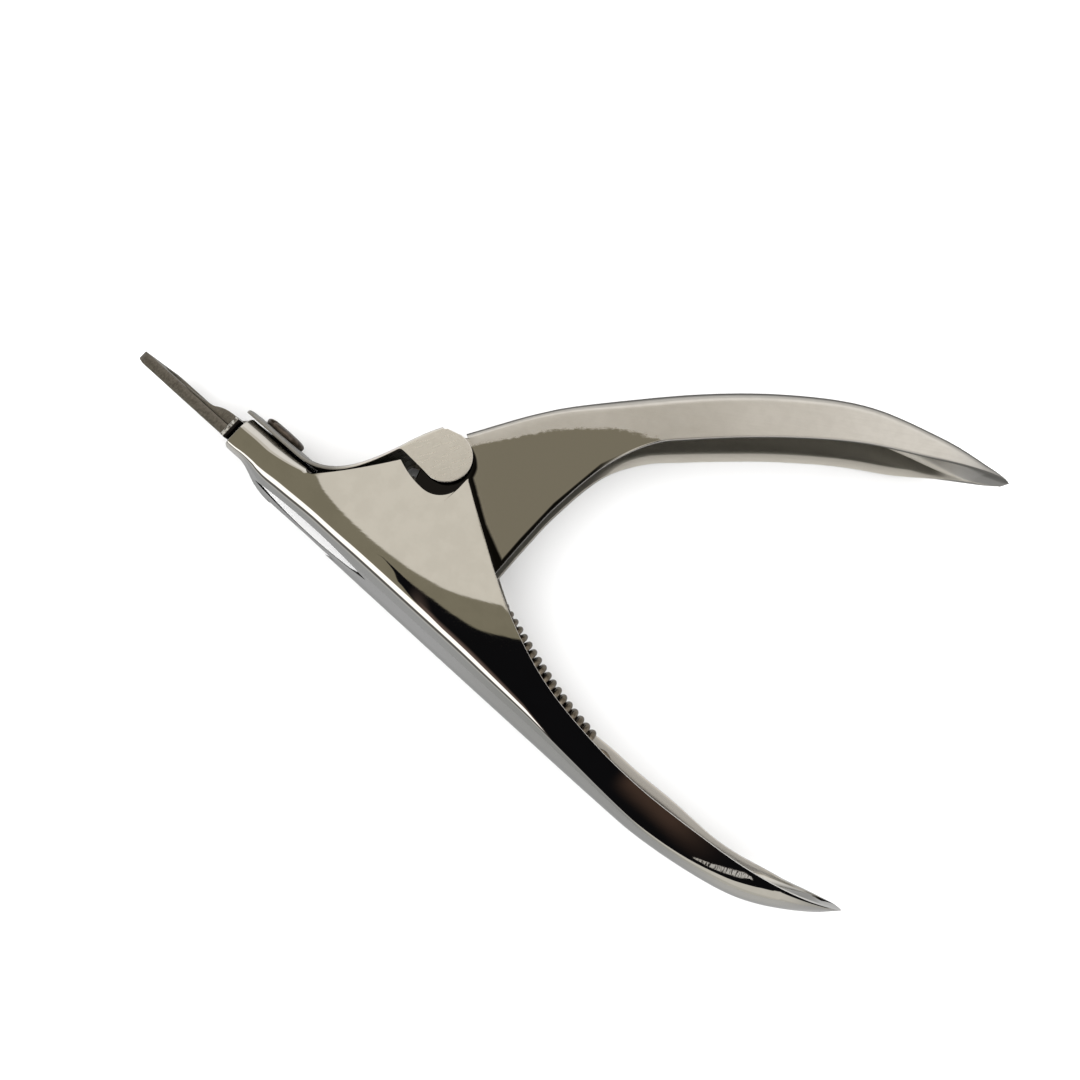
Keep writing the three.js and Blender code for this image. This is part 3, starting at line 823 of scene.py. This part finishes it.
class Field:
    """A value in a shader tree. Arithmetic on it adds the nodes."""

    def __init__(self, tree, socket):
        self.tree, self.socket = tree, socket

    def math(self, operation, *others):
        node = self.tree.nodes.new("ShaderNodeMath")
        node.operation = operation
        for value, socket in zip((self, *others), node.inputs):
            plug(self.tree, value, socket)
        return Field(self.tree, node.outputs[0])

    def __add__(self, other):
        return self.math("ADD", other)

    def __sub__(self, other):
        return self.math("SUBTRACT", other)

    def __mul__(self, other):
        return self.math("MULTIPLY", other)

    def __truediv__(self, other):
        return self.math("DIVIDE", other)

    def invert(self):
        return (self * -1) + 1

    def step(self, low, high, start=0.0, stop=1.0):
        """From start at low to stop at high, smooth between them."""
        node = self.tree.nodes.new("ShaderNodeMapRange")
        node.interpolation_type = "SMOOTHSTEP"
        for value, socket in zip((self, low, high, start, stop), node.inputs):
            plug(self.tree, value, socket)
        return Field(self.tree, node.outputs[0])

    def curve(self, points, handles="VECTOR"):
        """Straight lines through (input, output) points, level beyond the ends. AUTO handles round them."""
        xs, ys = [p[0] for p in points], [p[1] for p in points]
        low, high, floor, ceiling = min(xs), max(xs), min(ys), max(ys)
        node = self.tree.nodes.new("ShaderNodeFloatCurve")
        line_curve = node.mapping.curves[0]
        while len(line_curve.points) < len(points):
            line_curve.points.new(0.5, 0.5)
        for point, x, y in zip(line_curve.points, xs, ys):
            point.location = ((x - low) / (high - low), (y - floor) / (ceiling - floor))
            point.handle_type = handles
        node.mapping.update()
        share = ((self - low) / (high - low)).math("MAXIMUM", 0).math("MINIMUM", 1)
        plug(self.tree, share, node.inputs["Value"])
        return Field(self.tree, node.outputs[0]) * (ceiling - floor) + floor


def plug(tree, value, socket):
    if isinstance(value, Field):
        tree.links.new(value.socket, socket)
    else:
        socket.default_value = value


def split(tree, socket):
    node = tree.nodes.new("ShaderNodeSeparateXYZ")
    tree.links.new(socket, node.inputs[0])
    return [Field(tree, out) for out in node.outputs]


def join(tree, x, y, z):
    node = tree.nodes.new("ShaderNodeCombineXYZ")
    for value, socket in zip((x, y, z), node.inputs):
        plug(tree, value, socket)
    return Field(tree, node.outputs[0])


def tint(tree, share, first, second):
    """Colour between two colours; share 0 gives the first."""
    node = tree.nodes.new("ShaderNodeMix")
    node.data_type = "RGBA"
    plug(tree, share, node.inputs["Factor"])
    for value, socket in ((first, node.inputs[6]), (second, node.inputs[7])):
        plug(tree, value if isinstance(value, Field) else (*value, 1), socket)
    return Field(tree, node.outputs[2])


# -------- steels


STEEL = (0.63, 0.61, 0.57)


class Steel:
    """A metal material. x, y and z are the place on the piece, in millimetres from the pivot."""

    def __init__(self, name, colour=STEEL):
        self.colour = colour
        self.material = bpy.data.materials.new(name)
        self.material.use_nodes = True
        self.tree = self.material.node_tree
        self.shader = self.tree.nodes["Principled BSDF"]
        self.shader.inputs["Metallic"].default_value = 1.0
        coordinates = self.tree.nodes.new("ShaderNodeTexCoord")
        x, y, z = split(self.tree, coordinates.outputs["Object"])
        self.x = (x - PIVOT.x) / MM
        self.y = (y - PIVOT.y) / MM
        self.z = (z - PIVOT.z) / MM
        self.place = join(self.tree, self.x, self.y, self.z)
        _, self.ny, self.nz = split(self.tree, coordinates.outputs["Normal"])

    def noise(self, scale, detail=3.0, rough=0.5, place=None):
        """Noise between 0 and 1; a larger scale makes it finer."""
        node = self.tree.nodes.new("ShaderNodeTexNoise")
        plug(self.tree, place or self.place, node.inputs["Vector"])
        for name, value in (("Scale", scale), ("Detail", detail), ("Roughness", rough)):
            node.inputs[name].default_value = value
        return Field(self.tree, node.outputs["Fac"])

    def coat(self, share, colour):
        """Lays a colour over the ones before it, where share is 1."""
        self.colour = tint(self.tree, share, self.colour, colour)

    def grain(self, angle, stretch, fine):
        """Streaks in the XY plane that run at an angle, in degrees."""
        c, s = math.cos(math.radians(angle)), math.sin(math.radians(angle))
        along = self.x * c + self.y * s
        across = self.y * c - self.x * s
        place = join(self.tree, along / stretch, across, self.z)
        return self.noise(fine, 4, 0.6, place)

    def turned_in(self):
        """1 on the faces of a wall that look at the other wall."""
        return (self.z * self.nz).step(-1, -2)

    def inside(self):
        """1 on the flat faces inside a channel."""
        return self.turned_in() * self.nz.math("ABSOLUTE").step(0.95, 0.98)

    def facing(self):
        """0 where the surface faces the eye, 1 where it is seen edge on."""
        node = self.tree.nodes.new("ShaderNodeLayerWeight")
        return Field(self.tree, node.outputs["Facing"])

    def finish(self, roughness, height, strength):
        """Ends the material: height is the relief and strength how deep it is."""
        plug(self.tree, self.colour, self.shader.inputs["Base Color"])
        plug(self.tree, roughness, self.shader.inputs["Roughness"])
        bump = self.tree.nodes.new("ShaderNodeBump")
        bump.inputs["Strength"].default_value = strength
        bump.inputs["Distance"].default_value = 0.1 * MM
        plug(self.tree, height, bump.inputs["Height"])
        self.tree.links.new(bump.outputs[0], self.shader.inputs["Normal"])
        return self.material


def tip_scuff_and_glint(s, scratches):
    """1 on the scuffed streak near the tip of the lower handle: scratches that roughen it, and a painted
    glint where it is coated lighter.
    """
    middle = s.x.curve([(60, -19.1), (63.5, -18), (65.5, -17.15), (68.5, -15.7)])
    half = s.x.curve([(60, 0.02), (64.5, 0.4), (67.5, 0.5), (69, 0.05)])
    streak = ((s.y - middle).math("ABSOLUTE") / half + (scratches - 0.5) * 1.6).step(1.3, 0.7)
    return streak * s.nz.step(0.8, 0.9) * s.x.step(60.6, 61.6) * s.x.step(69.2, 68.7)


def polished_body():
    """Mirror polish with faint swirl marks, a scuffed streak near the tip with a painted glint, and a
    painted highlight along the near rim. The back and the inside faces are duller, the back is coated darker
    as painted shade where it is seen edge on, and the floor inside the nose is coated near black as painted
    shade."""
    s = Steel("polished_steel_body")
    swirl, scratches = s.grain(20, 14, 5), s.grain(-68, 6, 5)
    scuff_and_glint = tip_scuff_and_glint(s, scratches)
    inside = s.inside()
    back = (s.ny * -1).step(0.40, 0.50) * s.x.step(-24, -20)
    # painted shade: the floor inside the nose is coated near black
    nose_floor_shade = s.ny.step(0.2, 0.4) * s.y.step(-18.7, -19.5) * s.x.step(7, 4)
    # painted highlight: the near rim of the lower handle is coated almost white
    rim = s.ny.step(0.25, 0.5) * s.z.step(3, 4) * s.x.step(6, 9)
    # The back is coated darker from x 12 to 32 and lighter again past 56, and much darker where it is seen
    # edge on, as painted shade.
    back_tone_and_edge_shade = tint(s.tree, s.x.step(12, 32), (0.44, 0.44, 0.435), (0.385, 0.385, 0.37))
    back_tone_and_edge_shade = tint(s.tree, s.x.step(56, 68), back_tone_and_edge_shade, (0.50, 0.49, 0.455))
    back_tone_and_edge_shade = tint(s.tree, s.facing().step(0.55, 0.98), back_tone_and_edge_shade, (0.15, 0.15, 0.145))

    s.coat(s.noise(0.35).step(0.35, 0.65), (0.60, 0.58, 0.54))
    # painted glint: the scuffed streak is coated lighter, standing in for the highlight it catches
    s.coat(scuff_and_glint * s.x.step(61, 66, 0.35, 1.0), (0.78, 0.77, 0.75))
    s.coat(back, back_tone_and_edge_shade)
    s.coat(s.x.step(73, 78), (0.42, 0.415, 0.40))
    s.coat(inside, (0.50, 0.49, 0.47))
    s.coat(nose_floor_shade, (0.02, 0.02, 0.024))
    s.coat(rim, (0.98, 0.95, 0.90))
    rough = swirl.step(0.35, 0.75, 0.012, 0.022) + scuff_and_glint * scratches.step(0.3, 0.6) * 0.5
    rough = rough + back * 0.10 + inside * 0.2 + nose_floor_shade * 0.3 + rim * 0.25
    return s.finish(rough, swirl * 0.1 + s.noise(0.18, 2), 0.015)


def lever_gap_shade(s, ragged):
    """1 where painted shade lies: in the gap beside the cheek, round the hub and along the rim."""
    cheek_edge = s.x.curve([(3, 0.3), (4, -0.35), (10, -4.4), (20, -10.3)])
    gap = s.x.curve([(4, 0.7), (10, 0.85), (16, 1.7)])
    beside = (s.y - cheek_edge - gap + (ragged * 0.1)).step(0.25, -0.25)
    ear_x, ear_y = EAR["centre"]
    radius = ((s.x - ear_x) * (s.x - ear_x) + (s.y - ear_y) * (s.y - ear_y)).math("SQRT")
    around = (radius - s.y.curve([(-1, 4.8), (1.5, 4.5), (2.6, 4.1), (3.8, 3.5)])).step(0.2, -0.2)
    rim_x = s.y.curve([(y, x) for share, x, y in GRIP_RIM[:5]])
    beside_rim = (rim_x - s.x).step(0.75, 0.5) * s.y.step(19, 12)
    gap_shade = beside.math("MAXIMUM", around).math("MAXIMUM", beside_rim)
    return gap_shade * s.z.step(0, 1) * s.nz.step(0.8, 0.9)


def satin_lever():
    """Brushed along the grip and on the turned rim of the far wall, and mirror polished round the hub, with
    a ragged border between them."""
    s = Steel("satin_steel_lever")
    border = s.x.curve([(1, 3.7), (5, 8.6), (8, 12.6), (11, 15.7), (15, 19.1), (20, 21.6), (25, 22.6),
                        (30, 22.2), (35, 20.2)])
    ragged = (s.noise(1.2, 4) - 0.5) * 1.2 + (s.grain(45, 6, 3) - 0.5) * 1.2
    grain, mottle = s.grain(32, 22, 3.2), s.noise(0.7, 5, 0.6)
    lip = s.turned_in() * s.nz.math("ABSOLUTE").step(0.992, 0.975)
    inside = s.inside() * lip.invert()
    brushed = (s.y - border + ragged).step(-0.4, 0.5) * inside.invert()
    brushed = brushed.math("MAXIMUM", lip)

    s.coat(brushed, (0.71, 0.685, 0.64))
    s.coat(brushed * (mottle * 0.7 + grain * 0.3).step(0.35, 0.65), (0.67, 0.645, 0.60))
    # painted shade: the grip is coated darker towards its tip
    s.coat(s.x.step(50, 62), (0.46, 0.45, 0.43))
    # painted shade: the faces inside the channel are coated darker
    s.coat(inside, (0.36, 0.35, 0.32))
    # painted highlight: the turned rim of the far wall is coated nearly white
    s.coat(lip, (0.92, 0.89, 0.83))
    # painted shade: the brushed outer faces are coated dark where they are seen edge on
    s.coat(s.facing().step(0.45, 0.88) * brushed * s.z.step(0, 1), (0.19, 0.185, 0.17))
    # painted shade, near black, in the gap beside the cheek, round the hub and along the rim
    s.coat(lever_gap_shade(s, ragged), (0.012, 0.011, 0.010))
    plug(s.tree, (0.35, 0.35, 0.35, 1), s.shader.inputs["Specular Tint"])
    rough = brushed * (grain.step(0.3, 0.7, 0.27, 0.35) + mottle * 0.06 - 0.03 + lip * 0.3)
    return s.finish(rough + inside * 0.3 + 0.03, (grain * 0.6 + mottle * 0.4) * brushed, 0.07)


def satin_plain(name):
    """Fine satin with a light mottling. Painted shade darkens it where it is seen edge on, and a painted
    dark reflection darkens it over the nose.
    """
    s = Steel(name, (0.88, 0.85, 0.79))
    grain, mottle = s.grain(60, 10, 4), s.noise(1.1, 5, 0.6)
    s.coat(mottle.step(0.3, 0.7), (0.84, 0.81, 0.755))
    # painted shade where the surface is seen edge on
    s.coat(s.facing().step(0.45, 0.9), (0.30, 0.29, 0.27))
    # painted reflection: darker over the nose
    s.coat(s.x.step(-8, -12), (0.32, 0.31, 0.29))
    return s.finish(grain.step(0.3, 0.7, 0.26, 0.34), grain + mottle, 0.025)


def ground_plate(name, colour_low, colour_high, head_light_and_shade=False):
    """Dull ground steel with cross marks from the stone and darker pits. The heads of the plates have a
    painted highlight on their front edge, and painted shade where they meet the nose."""
    s = Steel(name, colour_low)
    marks = s.noise(3.0, 4, 0.65, join(s.tree, s.x * 2.2, s.y * 0.8, s.z * 0.25))
    pits = s.noise(2.0, 6, 0.7)
    s.coat((marks * 0.5 + pits * 0.5).step(0.36, 0.64), colour_high)
    if head_light_and_shade:
        # painted highlight along the front edge of each head
        head_highlight = s.x.step(-27.0, -26.85) * s.x.step(-26.1, -26.3)
        s.coat(head_highlight * pits.step(0.42, 0.55), (0.85, 0.84, 0.80))
        # painted shade where the heads meet the nose
        s.coat(s.x.step(-26.25, -26.1) * s.x.step(-24.7, -25.1), (0.015, 0.013, 0.012))
    return s.finish(pits.step(0.3, 0.7, 0.34, 0.5), marks + pits * 0.6, 0.35)


def dark_screw():
    """Oxidised steel with a blotched patina."""
    s = Steel("dark_steel_screw", (0.075, 0.06, 0.048))
    patina = s.noise(1.4, 5, 0.6)
    s.coat(patina.step(0.35, 0.65), (0.15, 0.122, 0.10))
    return s.finish(patina.step(0.3, 0.7, 0.28, 0.42), patina + s.noise(6, 2) * 0.3, 0.2)


def spring_wire():
    """Drawn wire with darker patches."""
    s = Steel("spring_steel_wire", (0.26, 0.222, 0.172))
    drawn = s.noise(2.2, 4, 0.6)
    s.coat(drawn.step(0.35, 0.65), (0.15, 0.124, 0.092))
    return s.finish(drawn.step(0.3, 0.7, 0.15, 0.25), drawn, 0.12)


# -------- assembly


def add(piece, slot_name, *nodes):
    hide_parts(*nodes)


mirror, satin = polished_body(), satin_plain("satin_steel_sheet")
ground = ground_plate("ground_steel_plates", (0.125, 0.113, 0.094), (0.235, 0.212, 0.178), True)
pin_steel = ground_plate("ground_steel_pins", (0.40, 0.38, 0.34), (0.52, 0.50, 0.46))

body = channel("body_frame_shell", body_stations(), "frame", mirror, LOWER_TIP)
cut_window(body)
combine(body, upright_bore(SCREW_X, BORE, -24, -18))
add(body, "polished_steel", "body_frame")

lever = channel("lever_handle_shell", lever_stations(), "lever", satin_lever(), UPPER_TIP, 0)
add(lever, "satin_steel", "lever_handle")

strap = channel("cover_strap_folded", strap_stations(), "frame", satin)
combine(strap, upright_bore(SCREW_X, BORE, -16, -12))
add(strap, "satin_steel", "cover_strap")

add(guard_plate(ground), "ground_steel", "guard_plate")
add(cutting_blade(ground), "ground_steel", "cutting_blade")
add(spacer_block(satin), "satin_steel", "spacer_block")
add(clamp_screw(dark_screw()), "dark_steel", "clamp_screw")
add(washer("pivot_washer_near_disc", 5.3, 5.6, pin_steel), "ground_steel", "pivot_washer_near")
add(washer("pivot_washer_far_disc", -5.6, -5.3, pin_steel), "ground_steel", "pivot_washer_far")
for node, radius, ride_on in (
    ("pivot_pin", 1.5, "frame"),
    ("drive_pin", 1.2, "lever"),
    ("spring_hook_pin", 0.9, "lever"),
    ("spring_anchor_pin", 0.9, "frame"),
):
    low, high = node_box(node)
    pin = chamfered_pin(node + "_turned", (low + high) / 2, radius, high.z, ride_on, pin_steel)
    add(pin, "ground_steel", node)

spring = return_spring(spring_wire())
blend_start = SPRING_HOOK.lerp(SPRING_ANCHOR, 0.45)
blend_end = SPRING_HOOK.lerp(SPRING_ANCHOR, 0.05)
PIVOT + blend_start * MM
PIVOT + blend_end * MM
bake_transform(spring)
add(spring, "spring_steel", "return_spring")


# -------- studio

FOOT = Vector((26.47, -10.70, 0.0))  # straight below the camera
CAMERA_HEIGHT = 120.0
MIRROR_HEIGHT = CAMERA_HEIGHT - BODY_HALF  # from the near walls up to the camera


def soft_boxes(tree, dx, dy, dz):
    """A ring of soft boxes round an open middle: strong below the object, weaker above and beside it."""
    side = (dx * dx + dy * dy).math("SQRT")
    polar = side.math("ARCTAN2", dz) * (180 / math.pi)
    lower = upper = (0.80, 0.76, 0.70)
    beside = (dx / side).step(0.25, 0.4)
    for share, colour in (
        (polar.step(21, 25), (1.9, 1.88, 1.84)),
        (polar.step(42, 45), (0.16, 0.155, 0.15)),
        (polar.step(53, 56), (0.66, 0.66, 0.65)),
        (polar.step(21, 25) * beside, (0.78, 0.76, 0.71)),
    ):
        lower = tint(tree, share, lower, colour)
    upper = tint(tree, polar.step(28, 34), upper, (1.05, 1.03, 1.0))
    upper = tint(tree, polar.step(55, 80), upper, (0.62, 0.61, 0.59))
    return tint(tree, (dy / side).step(-0.15, 0.15), lower, upper)


def cards(tree, x, y, sky):
    """The camera side, laid out by the point (x, y) of a flat wall that mirrors it: a pale card over the
    cheek, brown card round it and on the lever, and black cloth along the lower handle."""
    card_edge = x.curve([(-13.2, -14.1), (-12.4, -14.3), (-10, -15.15), (-6, -15.7), (0, -15.8),
                         (5, -15.45), (10, -14.6), (14, -13.35), (17, -11.9), (19.3, -10.6)], "AUTO")
    dark_edge = x.curve([(1, -17.3), (3, -17.1), (10, -16.5), (16, -15.85), (19, -15.2), (21, -14.4),
                         (22.5, -13.6), (24, -12.7), (28, -9)], "AUTO")
    deep_edge = x.curve([(1, -17.2), (3, -17.5), (5, -19), (7, -26), (9, -45), (14, -66), (30, -66),
                         (40, -150), (80, -150), (90, -35), (120, -35)])
    cheek_edge = x.curve([(0, 2.6), (3, 2), (4, -0.35), (10, -4.4), (20, -10.3), (28, -13.6)])
    soft = 0.12
    deep_soft = x.step(8, 14, 0.3, 4)
    above_cheek = (y - cheek_edge).step(-soft, soft) * x.step(-1, 0)
    below_card = (y - card_edge).step(soft, -soft).math("MAXIMUM", x.step(-11.5, -13))
    brown = below_card * y.step(-58, -48) * x.step(30, 26) * y.step(2, -6)
    lever_brown = above_cheek * (y - x).step(12, 8) * x.step(30, 26)
    card = below_card.invert() * above_cheek.invert() * x.step(36, 26) * y.step(1.5, 0)
    cloth = (y - dark_edge).step(soft, -soft) * (y - deep_edge).step(deep_soft * -1, deep_soft)
    cloth = cloth * x.step(1, 2) * x.step(600, 350)
    glow = x.step(56, 60) * x.step(73, 66) * y.step(-19.8, -17)
    rust = (y - deep_edge).step(40, 16) * x.step(40, 30) * x.step(8, 12)
    cloth_colour = tint(tree, glow, (0.006, 0.006, 0.007), (0.072, 0.045, 0.034))
    cloth_colour = tint(tree, rust, cloth_colour, (0.16, 0.115, 0.10))
    for share, colour in (
        (brown, (0.275, 0.252, 0.185)),
        (lever_brown, (0.27, 0.245, 0.185)),
        (card, (0.90, 0.86, 0.78)),
        (cloth, cloth_colour),
    ):
        sky = tint(tree, share, sky, colour)
    return sky


def studio_sky():
    """What the polished steel mirrors. The matt floor is lit by an even white dome instead, and the eye sees
    a plain backdrop."""
    world = bpy.data.worlds.new("studio")
    bpy.context.scene.world = world
    world.use_nodes = True
    tree = world.node_tree
    coordinates = tree.nodes.new("ShaderNodeTexCoord")
    dx, dy, dz = split(tree, coordinates.outputs["Generated"])
    height = dz.math("MAXIMUM", 0.02)
    x = dx / height * MIRROR_HEIGHT + FOOT.x
    y = dy / height * MIRROR_HEIGHT + FOOT.y
    sky = cards(tree, x, y, soft_boxes(tree, dx, dy, dz))
    path = tree.nodes.new("ShaderNodeLightPath")
    for ray, grey in (("Is Diffuse Ray", 2.2), ("Is Camera Ray", 0.93)):
        sky = tint(tree, Field(tree, path.outputs[ray]), sky, (grey, grey, grey))
    plug(tree, sky, tree.nodes["Background"].inputs["Color"])


def floor():
    material = bpy.data.materials.new("pale_floor")
    material.use_nodes = True
    shader = material.node_tree.nodes["Principled BSDF"]
    # Mirrored in the steel, the floor is darker than to the eye.
    tree = material.node_tree
    path = tree.nodes.new("ShaderNodeLightPath")
    mirrored = Field(tree, path.outputs["Is Glossy Ray"])
    plug(tree, tint(tree, mirrored, (0.83, 0.83, 0.83), (0.38, 0.38, 0.38)), shader.inputs["Base Color"])
    shader.inputs["Roughness"].default_value = 0.9
    radius, clearance, segments = 3000.0, 0.02, 64
    points = [(radius * math.cos(a), radius * math.sin(a), -PIVOT.z / MM - clearance)
              for a in np.linspace(0, 2 * math.pi, segments, endpoint=False)]
    plane = build("pale_floor", points, [tuple(range(segments))], None, material)


def camera():
    turn, tilt = math.radians(41.5), math.radians(6.94)
    right = Vector((math.cos(turn), math.sin(turn), 0))
    upward = Vector((-math.sin(turn), math.cos(turn), 0))
    back = Vector((0, 0, 1)) * math.cos(tilt) - upward * math.sin(tilt)
    up = Vector((0, 0, 1)) * math.sin(tilt) + upward * math.cos(tilt)
    data = bpy.data.cameras.new("camera")
    data.lens, data.sensor_width = 27.4, 36
    data.clip_start = 0.005
    view = bpy.data.objects.new("camera", data)
    bpy.context.scene.collection.objects.link(view)
    place = Matrix((right, up, back)).transposed().to_4x4()
    place.translation = PIVOT + (FOOT + Vector((0, 0, CAMERA_HEIGHT))) * MM
    view.matrix_world = place
    bpy.context.scene.camera = view


studio_sky()
floor()
camera()
bpy.context.scene.view_settings.view_transform = "Standard"
